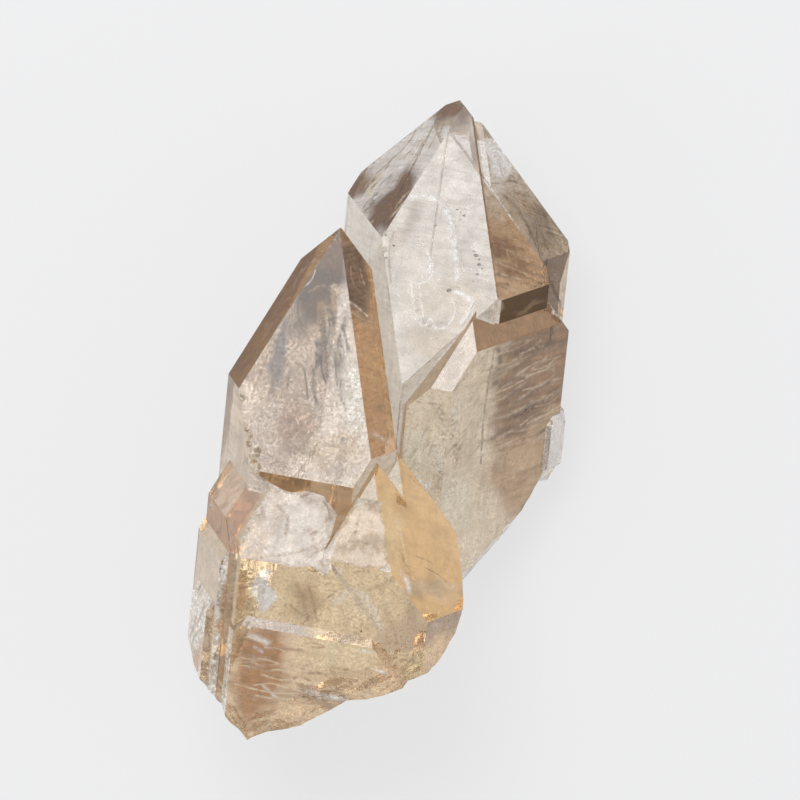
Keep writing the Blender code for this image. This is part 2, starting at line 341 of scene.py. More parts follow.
def first_finish(face):
    """The finish that a face has before any pointing."""
    kind = family[face.index]
    if kind in ("break", "rest"):
        return crust_of(face) or {"break": "broken", "rest": "rest"}[kind]
    return crust_of(face) or ("front" if face.normal.z > 0 else "rear")


bm.faces.ensure_lookup_table()
finish = {face.index: first_finish(face) for face in bm.faces}
from_above = BVHTree.FromBMesh(bm)
for name, spots in POINTED_AT.items():
    for pixel in pixels(spots):
        found = from_above.ray_cast(place(*pixel, HIGH), Vector((0, 0, -1)))
        finish[found[2]] = name
        print(name, pixel, family[found[2]], round(found[0].z / MM, 1))

finish_layer = bm.faces.layers.int.new("finish")
facet_layer = bm.faces.layers.int.new("facet")
worn_layer = bm.faces.layers.int.new("worn")
ROUGH_GROUPS = {"broken": -1, "crust": -2, "crust_small": -2}
for face in bm.faces:
    name = finish[face.index]
    face[finish_layer] = NUMBERS[name]
    face[facet_layer] = ROUGH_GROUPS.get(name, face.index)

# %% [markdown]
# No edge of a real stone is perfectly sharp: handling rubs it to a thin bright line. A narrow bevel does
# that. It is kept to the long edges between large faces, because a bevel needs room at both ends.

# %% Wear the edges
WEAR = 0.08 * MM
SHORTEST_EDGE = 0.45 * MM
WORN_LENGTH = 1.2 * MM
WORN_ANGLE = math.radians(14)
WORN_AREA = 2 * MM * MM

crowded = {vert for edge in bm.edges if edge.calc_length() < SHORTEST_EDGE for vert in edge.verts}


def gets_worn(edge):
    """True for a long edge with a clear bend between two large faces."""
    if crowded & set(edge.verts) or edge.calc_length() <= WORN_LENGTH:
        return False
    return edge.calc_face_angle(0) > WORN_ANGLE and min(f.calc_area() for f in edge.link_faces) > WORN_AREA


bevelled = bmesh.ops.bevel(
    bm, geom=[edge for edge in bm.edges if gets_worn(edge)], offset=WEAR, offset_type="OFFSET", segments=2,
    profile=0.6, affect="EDGES", clamp_overlap=False,
)
for face in bevelled["faces"]:
    face[worn_layer] = 1
bmesh.ops.remove_doubles(bm, verts=bm.verts, dist=WELD)
print("worn edges:", len(bevelled["faces"]), "narrow faces")

# %% [markdown]
# Fine marks on the stone are thin strokes on the map: healed cracks that look white, dark veins, and open
# cracks that are real grooves, where the crust's cracks also carry painted shade. Some are drawn one by one,
# and fields of short parallel ones are drawn by a loop with a fixed seed.

# %% Strokes
WHITE, CREAM, BROWN, DARK = (1.0, 1.0, 1.0), (0.95, 0.86, 0.74), (0.30, 0.18, 0.09), (0.10, 0.06, 0.03)
# the crust's crack colour: the cracks are real grooves, and this darker colour is painted shade inside them
CRACK_SHADE, SMOKE = (0.50, 0.34, 0.22), (0.42, 0.26, 0.13)
STROKES = {
    # points on the map, width in mm, tint, milk, depth of the groove in mm
    "tip_front": [
        ("412,197 426,196 438,201 446,212 451,228 454,246 457,264 456,282", 1.25, WHITE, 0.6, 0),
        ("427,251 430,260 429,271", 0.6, WHITE, 0.7, 0),
        ("408,281 420,284 431,277 433,262", 0.35, WHITE, 0.75, 0),
        ("411,284 413,302 417,320 425,326 430,319 437,329 448,325 455,311 452,298", 0.4, WHITE, 0.6, 0),
        ("419,286 421,301 423,316", 0.3, WHITE, 0.6, 0),
        ("456,292 466,297 472,305 467,315 461,323", 1.1, WHITE, 0.6, 0),
        ("461,327 468,317 473,305", 0.25, BROWN, 0.1, 0.05),
        ("394,232 390,246 389,262 391,282", 0.5, BROWN, 0.1, 0.03),
    ],
    "gap": [
        ("385,236 386,256 388,280 390,300", 0.6, BROWN, 0.1, 0.03),
    ],
    "tip_left": [
        ("430,116 437,122 436,134 430,146", 0.35, BROWN, 0.05, 0),
        ("440,112 444,120 441,130", 0.3, BROWN, 0.05, 0),
        ("424,140 414,158 404,172 397,184", 0.4, BROWN, 0.05, 0),
        ("418,124 408,142 392,158 378,170", 0.25, BROWN, 0.05, 0),
    ],
    "tip_right": [
        ("488,184 496,195 508,213 520,232", 0.55, WHITE, 0.8, 0.03),
        ("486,168 488,180 496,183 514,181", 0.35, BROWN, 0.1, 0.05),
        ("505,196 516,206 528,226 536,244", 0.8, DARK, 0.05, 0),
    ],
    "tip_brown": [
        ("496,262 508,267 520,271 530,276", 0.45, (0.75, 0.52, 0.32), 0.22, 0),
        ("494,272 506,276 522,280", 0.4, (0.8, 0.58, 0.36), 0.25, 0),
        ("492,226 502,240 510,262", 0.3, (0.6, 0.4, 0.22), 0.12, 0),
    ],
    "shoulder": [
        ("494,350 487,391 483,424 481,463", 0.45, DARK, 0.05, 0.03),
        ("498,352 500,368 494,384", 1.8, DARK, 0.05, 0),
    ],
    "shoulder_low": [
        ("404,396 418,402 436,404", 0.35, BROWN, 0.1, 0.04),
        ("436,408 446,424 444,446", 0.4, CREAM, 0.6, 0),
    ],
    "second_front": [
        ("333,288 341,291 346,300 346,308", 1.6, CREAM, 0.5, 0),
        ("346,306 352,318 355,332", 0.7, CREAM, 0.4, 0),
        ("304,288 312,280 317,266 320,254", 0.3, WHITE, 0.55, 0),
        ("310,292 322,286 333,290 336,302 330,310", 0.5, BROWN, 0.08, 0.02),
        ("321,304 322,330 325,360 331,388", 1.3, BROWN, 0.06, 0),
        ("334,312 336,338 340,362", 1, BROWN, 0.06, 0),
        ("328,308 329,338 333,378 335,402", 1.1, (0.9, 0.76, 0.6), 0.3, 0),
        ("290,300 284,330 277,362 272,392", 0.8, (0.25, 0.22, 0.25), 0.1, 0),
        ("247,424 248,440 254,456 257,474", 1.1, BROWN, 0.1, 0.3),
        ("282,424 292,396 300,412 312,418 310,438", 0.5, (0.62, 0.4, 0.3), 0.15, 0),
        ("262,466 290,470 318,475 352,481", 0.7, CREAM, 0.5, 0),
    ],
    "second_band": [
        ("374,434 382,438 390,441", 1, CREAM, 0.35, 0),
        ("350,302 358,308 367,316", 0.45, CREAM, 0.4, 0),
        ("352,312 360,318 370,322", 0.3, CREAM, 0.35, 0),
    ],
    # painted shade: the darker colour along these crust cracks stands in for shade in the grooves
    "crust": [
        ("262,556 288,553 310,546 331,535", 0.3, CRACK_SHADE, 0.3, 0.12),
        ("322,498 330,512 322,527 313,535 318,548", 0.3, CRACK_SHADE, 0.3, 0.12),
        ("276,500 288,516 286,536", 0.3, CRACK_SHADE, 0.3, 0.12),
    ],
    # painted shade: the darker colour along these crust cracks stands in for shade in the grooves
    "crust_small": [
        ("343,548 352,540 370,543 384,552", 0.3, CRACK_SHADE, 0.3, 0.12),
        ("360,514 356,530 346,542", 0.3, CRACK_SHADE, 0.3, 0.12),
    ],
    "base_upper": [
        ("298,582 304,598 309,618", 0.9, SMOKE, 0.12, 0),
        ("310,586 314,600 317,616", 0.7, (0.34, 0.2, 0.1), 0.12, 0),
        ("292,604 302,612 312,616", 0.6, SMOKE, 0.12, 0),
        ("339,597 351,589 363,593 372,607 381,625", 1.5, CREAM, 0.8, 0),
        ("322,571 331,566 340,570", 1.1, WHITE, 0.75, 0),
        ("338,588 322,602 306,620", 0.25, BROWN, 0.1, 0.04),
        ("368,588 384,582 398,574 404,562", 1.2, (0.66, 0.44, 0.24), 0.2, 0.1),
        ("384,606 392,622 396,640", 1, (0.66, 0.44, 0.24), 0.2, 0.1),
    ],
    "lobe": [
        ("402,572 407,580 409,589", 1, WHITE, 0.75, 0),
        ("416,555 424,558 432,562", 0.3, (0.3, 0.17, 0.07), 0.15, 0.03),
        ("426,567 436,572 445,579", 0.32, (0.3, 0.17, 0.07), 0.15, 0.03),
        ("398,520 404,548 408,570", 0.4, (1, 0.78, 0.46), 0.3, 0),
    ],
    "base_lower": [
        ("252,634 260,637 267,641", 1.3, WHITE, 0.6, 0),
        ("256,646 263,650", 0.7, WHITE, 0.65, 0),
        ("364,648 374,650", 0.6, WHITE, 0.8, 0),
        ("372,666 386,671", 0.7, WHITE, 0.75, 0),
        ("308,690 324,694 345,697", 1.1, WHITE, 0.55, 0),
        ("264,684 270,690 277,696", 0.7, CREAM, 0.5, 0),
    ],
    "left_faces": [
        ("214,600 208,622 204,646", 0.5, BROWN, 0.1, 0.03),
        ("224,560 218,580 220,604", 0.5, BROWN, 0.1, 0.03),
    ],
}
FIELDS = [
    # finish, corners on the map, count, length and direction, width in mm, tint, milk
    ("shoulder", (492, 340, 566, 440), 26, 44, 22, 0.6, (0.4, 0.26, 0.15), 0.1),
    ("shoulder", (498, 345, 566, 440), 22, 44, 26, 0.32, (0.6, 0.42, 0.26), 0.13),
    ("shoulder", (492, 330, 566, 440), 20, 34, 24, 0.8, (0.1, 0.045, 0.02), 0.03),
    ("shoulder", (440, 400, 486, 560), 20, 16, 70, 0.4, (0.9, 0.8, 0.6), 0.35),
    ("shoulder_low", (392, 430, 446, 500), 30, 12, -24, 0.32, (1, 0.92, 0.76), 0.55),
    ("shoulder", (440, 470, 486, 540), 22, 14, -30, 0.35, (1, 0.9, 0.72), 0.45),
    ("second_front", (300, 270, 348, 396), 26, 34, -84, 0.55, (0.03, 0.016, 0.006), 0.02),
    ("shoulder_low", (388, 410, 440, 520), 22, 16, 62, 0.36, (0.46, 0.33, 0.2), 0.12),
    ("shoulder", (436, 380, 484, 470), 16, 20, 52, 0.4, (0.52, 0.38, 0.24), 0.12),
    ("shoulder", (430, 500, 480, 590), 18, 20, 48, 0.45, (1, 0.88, 0.66), 0.4),
    ("second_front", (262, 330, 300, 420), 10, 26, 78, 0.45, (0.35, 0.28, 0.26), 0.1),
    ("second_front", (270, 400, 350, 476), 36, 8, 60, 0.3, (0.9, 0.8, 0.68), 0.4),
    ("second_bevel", (250, 250, 330, 370), 16, 30, 58, 0.5, (0.45, 0.22, 0.1), 0.06),
    ("second_band", (346, 250, 386, 460), 12, 26, -80, 0.4, (0.75, 0.5, 0.3), 0.12),
    ("tip_left", (366, 176, 412, 240), 24, 18, 44, 0.4, (0.05, 0.02, 0.008), 0.03),
    ("tip_left", (366, 176, 412, 240), 14, 14, 50, 0.35, (0.55, 0.36, 0.2), 0.12),
    ("tip_left", (380, 120, 430, 180), 8, 20, 46, 0.22, BROWN, 0.05),
    ("tip_right", (515, 200, 560, 300), 14, 26, -58, 0.45, (0.12, 0.08, 0.05), 0.05),
    ("tip_brown", (486, 200, 540, 290), 16, 24, -18, 0.6, (0.62, 0.38, 0.2), 0.08),
    ("tip_brown", (486, 230, 540, 290), 10, 20, -18, 0.6, (0.18, 0.07, 0.025), 0.03),
    ("tip_front", (395, 150, 480, 340), 26, 16, 2, 0.35, (0.72, 0.62, 0.52), 0.2),
    ("base_lower", (240, 636, 390, 705), 40, 44, -7, 0.34, (1, 0.76, 0.48), 0.26),
    ("base_lower", (236, 640, 320, 700), 24, 26, -7, 0.5, (0.46, 0.25, 0.13), 0.12),
    ("base_upper", (300, 560, 400, 625), 14, 14, 60, 0.4, (1, 0.82, 0.52), 0.35),
    ("left_faces", (186, 560, 238, 680), 22, 18, 62, 0.4, CREAM, 0.45),
    ("left_faces", (186, 560, 238, 680), 18, 20, 66, 0.45, (0.45, 0.3, 0.18), 0.1),
    ("crust", (246, 482, 333, 566), 22, 12, 20, 0.35, (0.55, 0.4, 0.3), 0.35),
    ("crust_small", (336, 503, 392, 567), 12, 12, 40, 0.35, (0.55, 0.38, 0.24), 0.35),
]
FIELD_SEED = 11
FIELD_TURN = 7
FIELD_LENGTHS, FIELD_WIDTHS = (0.5, 1.1), (0.6, 1.3)
FIELD_BOW = 0.12
STROKE_STEP = 0.22 * MM


def smooth_path(points, step):
    """Even points along a smooth line through all the given ones."""
    ends = [points[0] * 2 - points[1], *points, points[-1] * 2 - points[-2]]
    path = []
    for before, start, stop, after in zip(ends, ends[1:], ends[2:], ends[3:]):
        pieces = max(2, round((stop - start).length / step))
        for piece in range(pieces):
            t = piece / pieces
            path.append(0.5 * (
                2 * start + (stop - before) * t + (2 * before - 5 * start + 4 * stop - after) * t * t
                + (3 * start - before - 3 * stop + after) * t ** 3
            ))
    return path + [points[-1]]


dice = random.Random(FIELD_SEED)
strokes = []
for name, rows in STROKES.items():
    for line, width, tint, milk, groove in rows:
        path = smooth_path([place(*pixel) for pixel in pixels(line)], STROKE_STEP)
        strokes.append((name, path, width * MM, tint, milk, groove * MM))
for name, (left, top, right, bottom), count, length, direction, width, tint, milk in FIELDS:
    for number in range(count):
        start = place(dice.uniform(left, right), dice.uniform(top, bottom))
        angle = math.radians(direction + dice.uniform(-FIELD_TURN, FIELD_TURN))
        reach = length * PIXEL * dice.uniform(*FIELD_LENGTHS)
        ahead = Vector((math.cos(angle), math.sin(angle), 0))
        bow = Vector((-ahead.y, ahead.x, 0)) * reach * dice.uniform(-FIELD_BOW, FIELD_BOW)
        path = smooth_path([start - ahead * reach / 2, start + bow, start + ahead * reach / 2], STROKE_STEP)
        strokes.append((name, path, width * MM * dice.uniform(*FIELD_WIDTHS), tint, milk, 0.0))
print("strokes:", len(strokes))

# %% [markdown]
# Flat faces are cut into small even triangles, so that colour can change within a face and fine relief
# is real shape. The rim of a face is split first, the same way for both of its neighbours. Then a
# Delaunay triangulation fills it. Points along the strokes make the triangles follow them.

# %% Cut the faces fine
FRONT_SPACING = 0.46 * MM
REAR_SPACING = 1.1 * MM
BREAK_SPACING = 0.60 * MM
NARROW = 0.12 * MM
NO_LENGTH = 0.001 * MM
CLEAR_OF_RIM = 0.45
SIDE_GAP = 0.15 * MM
FACES_UP = 0.12
FACES_DOWN = -0.2
ROW_HEIGHT = 0.866
STROKE_ROWS = (0.0, -0.5, 0.5, -0.8, 0.8)
CLEAR_OF_STROKE = 0.9
SAME_SPOT = 1e-5


def spacing_of(face):
    """How far apart the points of a face are."""
    if face[facet_layer] < 0:
        return BREAK_SPACING
    return FRONT_SPACING if face.normal.z > FACES_DOWN else REAR_SPACING


def split_evenly(edge, spacing):
    """Cuts an edge into equal pieces of about the spacing."""
    corner = edge.verts[0]
    for left in range(max(1, round(edge.calc_length() / spacing)), 1, -1):
        _, corner = bmesh.utils.edge_split(edge, corner, 1 / left)


def apart(points, rim_from, rim_to):
    """How far each flat point is from the nearest of a row of line pieces."""
    along = rim_to - rim_from
    lengths = np.maximum((along ** 2).sum(1), 1e-18)
    best = np.full(len(points), np.inf)
    for start, way, length in zip(rim_from, along, lengths):
        share = np.clip(((points - start) @ way) / length, 0, 1)
        best = np.minimum(best, ((points - start - share[:, None] * way) ** 2).sum(1))
    return np.sqrt(best)


def inside(points, rim):
    """True for each flat point inside a closed outline."""
    result = np.zeros(len(points), bool)
    for (x0, y0), (x1, y1) in zip(rim, np.roll(rim, -1, axis=0)):
        if y0 != y1:
            crossed = (points[:, 1] > min(y0, y1)) & (points[:, 1] <= max(y0, y1))
            result ^= crossed & (points[:, 0] < x0 + (points[:, 1] - y0) * (x1 - x0) / (y1 - y0))
    return result


def even_points(rim, spacing):
    """A honeycomb of points over an outline."""
    low, high = rim.min(0), rim.max(0)
    rows = np.arange(low[1], high[1], spacing * ROW_HEIGHT)
    columns = np.arange(low[0], high[0], spacing)
    grid = [(x + spacing / 2 * (number % 2), y) for number, y in enumerate(rows) for x in columns]
    return np.array(grid).reshape(-1, 2)


def stroke_points(face, flat):
    """Points down the middle and both sides of each stroke that crosses a face."""
    found, middles = [], []
    normal, corner = face.normal, face.verts[0].co
    for name, path, width, *_ in strokes:
        if NUMBERS[name] != face[finish_layer] or normal.z < FACES_UP:
            continue
        line = np.array([point[:2] for point in path])
        ahead = np.gradient(line, axis=0)
        side = np.stack((-ahead[:, 1], ahead[:, 0]), 1) / np.linalg.norm(ahead, axis=1)[:, None]
        for offset in STROKE_ROWS:
            row = line + side * offset * width
            height = corner.z - ((row - np.array(corner[:2])) @ np.array(normal[:2])) / normal.z
            placed = flat(np.column_stack((row, height)))
            found.append(placed)
            if offset == 0.0:
                middles.append((placed, width))
    return found, middles


def cut_fine(face, spacing):
    """Replaces a flat face by small triangles."""
    verts = [loop.vert for loop in face.loops]
    origin, normal = verts[0].co.copy(), face.normal.copy()
    first = normal.orthogonal().normalized()
    basis = np.array((first, normal.cross(first)))

    def flat(points):
        return (points - np.array(origin)) @ basis.T

    rim = flat(np.array([vert.co for vert in verts]))
    extra, middles = stroke_points(face, flat)
    points = even_points(rim, spacing)
    for middle, width in middles:
        near = (points > middle.min(0) - width).all(1) & (points < middle.max(0) + width).all(1)
        keep = np.ones(len(points), bool)
        keep[near] = apart(points[near], middle[:-1], middle[1:]) > width * CLEAR_OF_STROKE
        points = points[keep]
    points = np.vstack([points, *extra]) if extra else points
    points = points[inside(points, rim)]
    clear = min(spacing * CLEAR_OF_RIM, SIDE_GAP)
    points = points[apart(points, rim, np.roll(rim, -1, axis=0)) > clear]
    everything = [Vector(spot / MM) for spot in np.vstack([rim, points])]
    made, _, triangles, origins, _, _ = delaunay_2d_cdt(everything, [], [list(range(len(rim)))], 1, SAME_SPOT)
    kept = {number: min(source) for number, source in enumerate(origins) if source}
    merged = any(len({verts[item] for item in source if item < len(rim)}) > 1 for source in origins)
    if merged or len(kept) < len(made):
        print("left whole:", list(NUMBERS)[face[finish_layer]])
        return 0
    corners = {}
    for number, source in kept.items():
        if source < len(rim):
            corners[number] = verts[source]
        else:
            across, up = made[number] * MM
            corners[number] = bm.verts.new(origin + first * across + Vector(basis[1]) * up)
    for triangle in triangles:
        bm.faces.new([corners[number] for number in triangle], face)
    bm.faces.remove(face)
    return len(triangles)


started = time.time()
for edge in list(bm.edges):
    split_evenly(edge, min(spacing_of(face) for face in edge.link_faces))
wide = [
    face for face in bm.faces if face.calc_area() / face.calc_perimeter() > NARROW and not face[worn_layer]
]
triangles = sum(cut_fine(face, spacing_of(face)) for face in wide)
bmesh.ops.triangulate(bm, faces=[face for face in bm.faces if len(face.verts) > 3])
bmesh.ops.dissolve_degenerate(bm, edges=bm.edges, dist=NO_LENGTH)
bm.normal_update()
print("cut fine:", triangles, "triangles,", len(bm.faces), "faces,", round(time.time() - started, 1), "s")
print("open edges:", sum(not edge.is_manifold for edge in bm.edges))
print("volume in mm3:", round(bm.calc_volume() / MM ** 3))

# %% [markdown]
# Quartz breaks like glass, in shells and ripples. Points that belong to breaks alone are first smoothed
# and then moved by two sizes of noise. Points on the rim of a flat face stay, so the faces stay flat.

# %% Shape the breaks
BREAK_SMOOTHING = 3
# for each group, the scale and the height of both noises
SHELLS = {
    -1: ((300.0, 0.20 * MM), (1100.0, 0.07 * MM)),
    -2: ((300.0, 0.34 * MM), (1000.0, 0.06 * MM)),
}

groups = {}
for vert in bm.verts:
    facets = {face[facet_layer] for face in vert.link_faces}
    if len(facets) == 1 and min(facets) < 0:
        groups.setdefault(min(facets), []).append(vert)
for group, verts in groups.items():
    for _ in range(BREAK_SMOOTHING):
        bmesh.ops.smooth_vert(
            bm, verts=verts, factor=0.5, use_axis_x=True, use_axis_y=True, use_axis_z=True
        )
    bm.normal_update()
    for vert in verts:
        lift = sum(noise.noise(vert.co * scale) * height for scale, height in SHELLS[group])
        vert.co += vert.normal * (lift - SHELLS[group][0][1] / 2)
bm.to_mesh(stone_mesh)
bm.free()
print("breaks:", {group: len(verts) for group, verts in groups.items()}, "points moved")

# %% [markdown]
# Colour also drifts within a face: smoky at one end and clear at the other. A few ovals are painted light
# instead: painted reflections on the step, and a painted bright top on one crystal. Each is a soft oval on
# the map, kept to one finish: its middle, its two radii and its turn in pixels and degrees, how soft its
# rim is, and what it changes.

# %% Patches of colour and painted light
PATCHES = {
    # middle, radii, turn, softness, tint, milk, other measures
    "tip_left": [
        ((392, 204), (52, 22), 54, 0.45, (0.065, 0.014, 0.001), 0.02, {"speck": 0.9}),
        ((402, 214), (40, 14), 56, 0.5, (0.06, 0.015, 0.002), None, {"speck": 1, "rough": 0.28}),
        ((358, 186), (26, 9), 52, 0.6, (0.16, 0.06, 0.02), None),
        ((372, 184), (14, 8), 60, 0.4, (0.85, 0.7, 0.5), 0.2),
        ((450, 108), (22, 13), 44, 0.6, (0.16, 0.055, 0.016), 0.03),
    ],
    "tip_right": [
        ((540, 245), (84, 36), -58, 0.4, (0.56, 0.42, 0.3), None, {"speck": 0.8}),
        ((541, 228), (26, 14), -58, 0.5, (0.34, 0.25, 0.18), None),
        ((533, 180), (80, 7), -58, 0.5, (0.3, 0.16, 0.08), None),
        # painted light: this milky white oval brightens the clear top of this crystal in place of the light
        # that comes through it
        ((498, 156), (28, 16), -68, 0.25, (1, 1, 1), 0.72, {"speck": 0.1}),
    ],
    "tip_brown": [
        ((490, 200), (30, 12), -72, 0.5, (0.75, 0.6, 0.48), 0.15),
        ((505, 256), (34, 18), -50, 0.6, (0.26, 0.1, 0.035), None),
    ],
    "step": [
        # painted reflections: these two lighter ovals stand in for the step's inner reflections, a triangle
        # on the left and a streak in the middle
        ((498, 309), (11, 6), 40, 0.5, (0.2, 0.1, 0.035), 0.12, {"rough": 0.3}),
        ((528, 305), (20, 3), 14, 0.6, (0.13, 0.05, 0.012), 0.08),
    ],
    "tip_front": [
        ((470, 140), (26, 16), -60, 0.5, (0.66, 0.6, 0.56), 0.2, {"speck": 0.6}),
        ((458, 108), (28, 18), -66, 0.6, (0.13, 0.04, 0.009), 0.03, {"speck": 0.6}),
        ((445, 300), (60, 40), 0, 0.8, (0.72, 0.6, 0.48), None),
        ((440, 345), (60, 22), 0, 0.7, (0.62, 0.5, 0.38), 0.24),
        ((408, 225), (60, 10), 62, 0.7, (0.55, 0.46, 0.38), 0.16),
    ],
    "shoulder": [
        ((584, 396), (100, 186), -6, 0.2, (0.24, 0.105, 0.04), 0.08, {"cross": 1.2, "craze": 0.1}),
        ((530, 340), (40, 14), 14, 0.6, (0.17, 0.07, 0.025), 0.04),
        ((520, 400), (30, 40), 10, 0.7, (0.16, 0.07, 0.028), 0.04),
        ((516, 474), (40, 44), 20, 0.5, (0.42, 0.24, 0.11), 0.1),
        ((540, 440), (50, 16), 60, 0.5, (0.42, 0.24, 0.11), 0.1),
        ((450, 560), (60, 50), 50, 0.6, (1, 0.84, 0.62), 0.34),
        ((446, 410), (34, 26), 0, 0.8, (0.98, 0.84, 0.62), 0.3, {"craze": 0.6}),
        ((452, 500), (36, 40), 30, 0.8, (0.98, 0.86, 0.64), 0.3, {"craze": 0.7}),
    ],
    "shoulder_low": [
        ((412, 466), (34, 40), 0, 0.7, (1, 0.94, 0.72), 0.56, {"craze": 0.9}),
        ((450, 470), (24, 50), 10, 0.7, (0.8, 0.7, 0.54), 0.16, {"speck": 0.8}),
    ],
    "second_front": [
        ((322, 284), (72, 32), 68, 0.55, (0.05, 0.025, 0.01), 0.03, {"craze": 0}),
        ((336, 250), (34, 20), 80, 0.7, (0.12, 0.05, 0.02), 0.04),
        ((281, 352), (44, 12), 76, 0.6, (0.22, 0.21, 0.29), 0.16),
        ((330, 350), (62, 13), -84, 0.7, (0.1, 0.065, 0.035), 0.06),
        ((296, 425), (26, 34), 10, 0.8, (0.62, 0.38, 0.26), 0.22, {"craze": 0.5}),
        ((330, 452), (50, 26), -6, 0.8, (0.62, 0.45, 0.28), 0.3, {"craze": 0.5}),
        ((352, 400), (60, 12), -80, 0.7, (1, 0.96, 0.84), 0.44),
    ],
    "second_band": [
        ((355, 280), (62, 16), -76, 0.5, (0.17, 0.09, 0.05), 0.04),
    ],
    "second_side": [
        ((226, 440), (30, 8), 80, 0.6, (0.95, 0.8, 0.65), 0.25),
    ],
    "base_lower": [
        ((260, 668), (70, 34), 78, 0.5, (0.44, 0.17, 0.055), 0.11),
        ((346, 648), (64, 30), 6, 0.7, (1, 0.79, 0.47), 0.6),
        ((318, 694), (60, 13), -8, 0.7, (0.46, 0.3, 0.18), 0.16),
    ],
    "base_upper": [
        ((265, 590), (24, 10), 86, 0.25, (0.95, 0.93, 0.9), 0.45, {"speck": 0.2}),
        ((306, 600), (28, 26), 10, 0.8, (0.62, 0.38, 0.18), 0.14),
        ((356, 608), (30, 24), 20, 0.7, (1, 0.79, 0.48), 0.58),
        ((408, 632), (44, 26), 40, 0.6, (0.78, 0.54, 0.32), 0.18),
        ((244, 590), (8, 30), 4, 0.6, (0.8, 0.46, 0.2), None),
    ],
    "lobe": [
        ((432, 588), (40, 14), -10, 0.7, (0.72, 0.46, 0.24), 0.14),
        ((392, 530), (50, 14), -82, 0.7, (1, 0.66, 0.3), 0.3),
    ],
    "base_right": [
        ((440, 620), (46, 22), 35, 0.7, (0.42, 0.28, 0.18), 0.12),
    ],
    "strip": [
        ((345, 634), (42, 12), -8, 0.15, (0.95, 0.66, 0.34), 0.22, {"rough": 0.04}),
    ],
    "left_faces": [
        ((196, 660), (40, 12), 80, 0.7, (0.7, 0.46, 0.3), None),
        ((226, 600), (50, 8), 82, 0.6, (0.72, 0.48, 0.3), None),
        ((206, 560), (30, 14), 70, 0.7, (0.66, 0.42, 0.26), None),
    ],
}
WOBBLE = 1.3 * MM
WOBBLE_SCALE = 330.0
WOBBLE_SEED = 7
MOTTLE = ((330.0, 0.16), (1000.0, 0.16))
MOTTLE_TINT, MOTTLE_MILK, DARKEST = 1.6, 1.5, 0.3
WORN_MILK, WORN_ROUGH = 0.30, 0.25

corner_vert = np.empty(len(stone_mesh.loops), int)
stone_mesh.loops.foreach_get("vertex_index", corner_vert)
loops_of_face = [polygon.loop_total for polygon in stone_mesh.polygons]
corner_face = np.repeat(np.arange(len(stone_mesh.polygons)), loops_of_face)


def read_faces(name):
    """A face layer, as one value for each corner."""
    values = np.empty(len(stone_mesh.polygons), int)
    stone_mesh.attributes[name].data.foreach_get("value", values)
    return values[corner_face]


def smooth_share(values):
    """Values cut to 0 and 1, with soft ends."""
    share = np.clip(values, 0, 1)
    return share * share * (3 - 2 * share)


corner_finish, corner_facet, corner_worn = (read_faces(name) for name in ("finish", "facet", "worn"))
spots = [vert.co.copy() for vert in stone_mesh.vertices]
noise.seed_set(WOBBLE_SEED)
swirl = np.array([noise.noise_vector(spot * WOBBLE_SCALE) for spot in spots])
wobbled = (np.array(spots) + swirl * WOBBLE)[:, :2][corner_vert]
mottle = np.array([sum(noise.noise(spot * scale) * share for scale, share in MOTTLE) for spot in spots])
mottle = mottle[corner_vert]
tints = np.array([numbers[0] for numbers in FINISHES.values()])[corner_finish]
measures = np.array([numbers[1:] for numbers in FINISHES.values()])[corner_finish]

patches = [(name, *row) for name, rows in PATCHES.items() for row in rows]
for name, middle, radii, turned, softness, tint, milk, *more in patches:
    chosen = np.flatnonzero(corner_finish == NUMBERS[name])
    offset = wobbled[chosen] - np.array(place(*middle)[:2])
    cosine, sine = math.cos(math.radians(turned)), math.sin(math.radians(turned))
    along = (offset @ (cosine, sine)) / (radii[0] * PIXEL)
    across = (offset @ (-sine, cosine)) / (radii[1] * PIXEL)
    mask = smooth_share((1 - np.hypot(along, across)) / softness)
    tints[chosen] += mask[:, None] * (np.array(tint) - tints[chosen])
    for key, value in {"milk": milk, **dict(*more)}.items():
        if value is not None:
            column = MEASURES.index(key)
            measures[chosen, column] += mask * (value - measures[chosen, column])
# the limit keeps the hue where a tint can't get brighter
tints *= np.clip(1 + mottle * MOTTLE_TINT, DARKEST, 1 / tints.max(1))[:, None]
measures[:, 0] *= 1 + mottle * MOTTLE_MILK
print("patches:", len(patches), "corners:", len(corner_vert))

# %% [markdown]
# The strokes are painted in the same way, by the distance from the stroke's middle line. An open crack
# also sinks the surface. Growth leaves low waves across each crystal, so the inner points of each face
# move up and down by about a hundredth of a millimetre.

# %% Paint the strokes and move the surface
WAVE = 0.004 * MM
WAVE_OF_CROSS = 0.010 * MM
WAVE_SCALE = Vector((110.0, 620.0, 110.0))
SHARP = math.radians(9)
GRAIN_SCALE = 1500.0
GRAIN_MEAN, GRAIN_SPREAD, GRAIN_LEAST = 0.75, 0.8, 0.15
TAPER = 1.2

flat_spots = np.array(spots)[:, :2]
grain = [GRAIN_MEAN + GRAIN_SPREAD * noise.noise(spot * GRAIN_SCALE) for spot in spots]
grain = np.clip(grain, GRAIN_LEAST, 1.0)
sink = np.zeros(len(spots))
normals = np.empty(len(spots) * 3, np.float32)
stone_mesh.vertex_normals.foreach_get("vector", normals)
normals = normals.reshape(-1, 3)
for name, path, width, tint, milk, groove in strokes:
    line = np.array([point[:2] for point in path])
    boxed = (flat_spots > line.min(0) - width) & (flat_spots < line.max(0) + width)
    near = np.flatnonzero(boxed.all(1))
    strength = np.zeros(len(spots))
    taper = 1 - apart(flat_spots[near], line[:-1], line[1:]) / (width * 0.5)
    strength[near] = smooth_share(taper * TAPER) * grain[near]
    at_corner = strength[corner_vert] * (corner_finish == NUMBERS[name])
    chosen = np.flatnonzero(at_corner)
    tints[chosen] += at_corner[chosen, None] * (np.array(tint) - tints[chosen])
    measures[chosen, 0] += at_corner[chosen] * (milk - measures[chosen, 0])
    np.maximum.at(sink, corner_vert[chosen], at_corner[chosen] * groove)

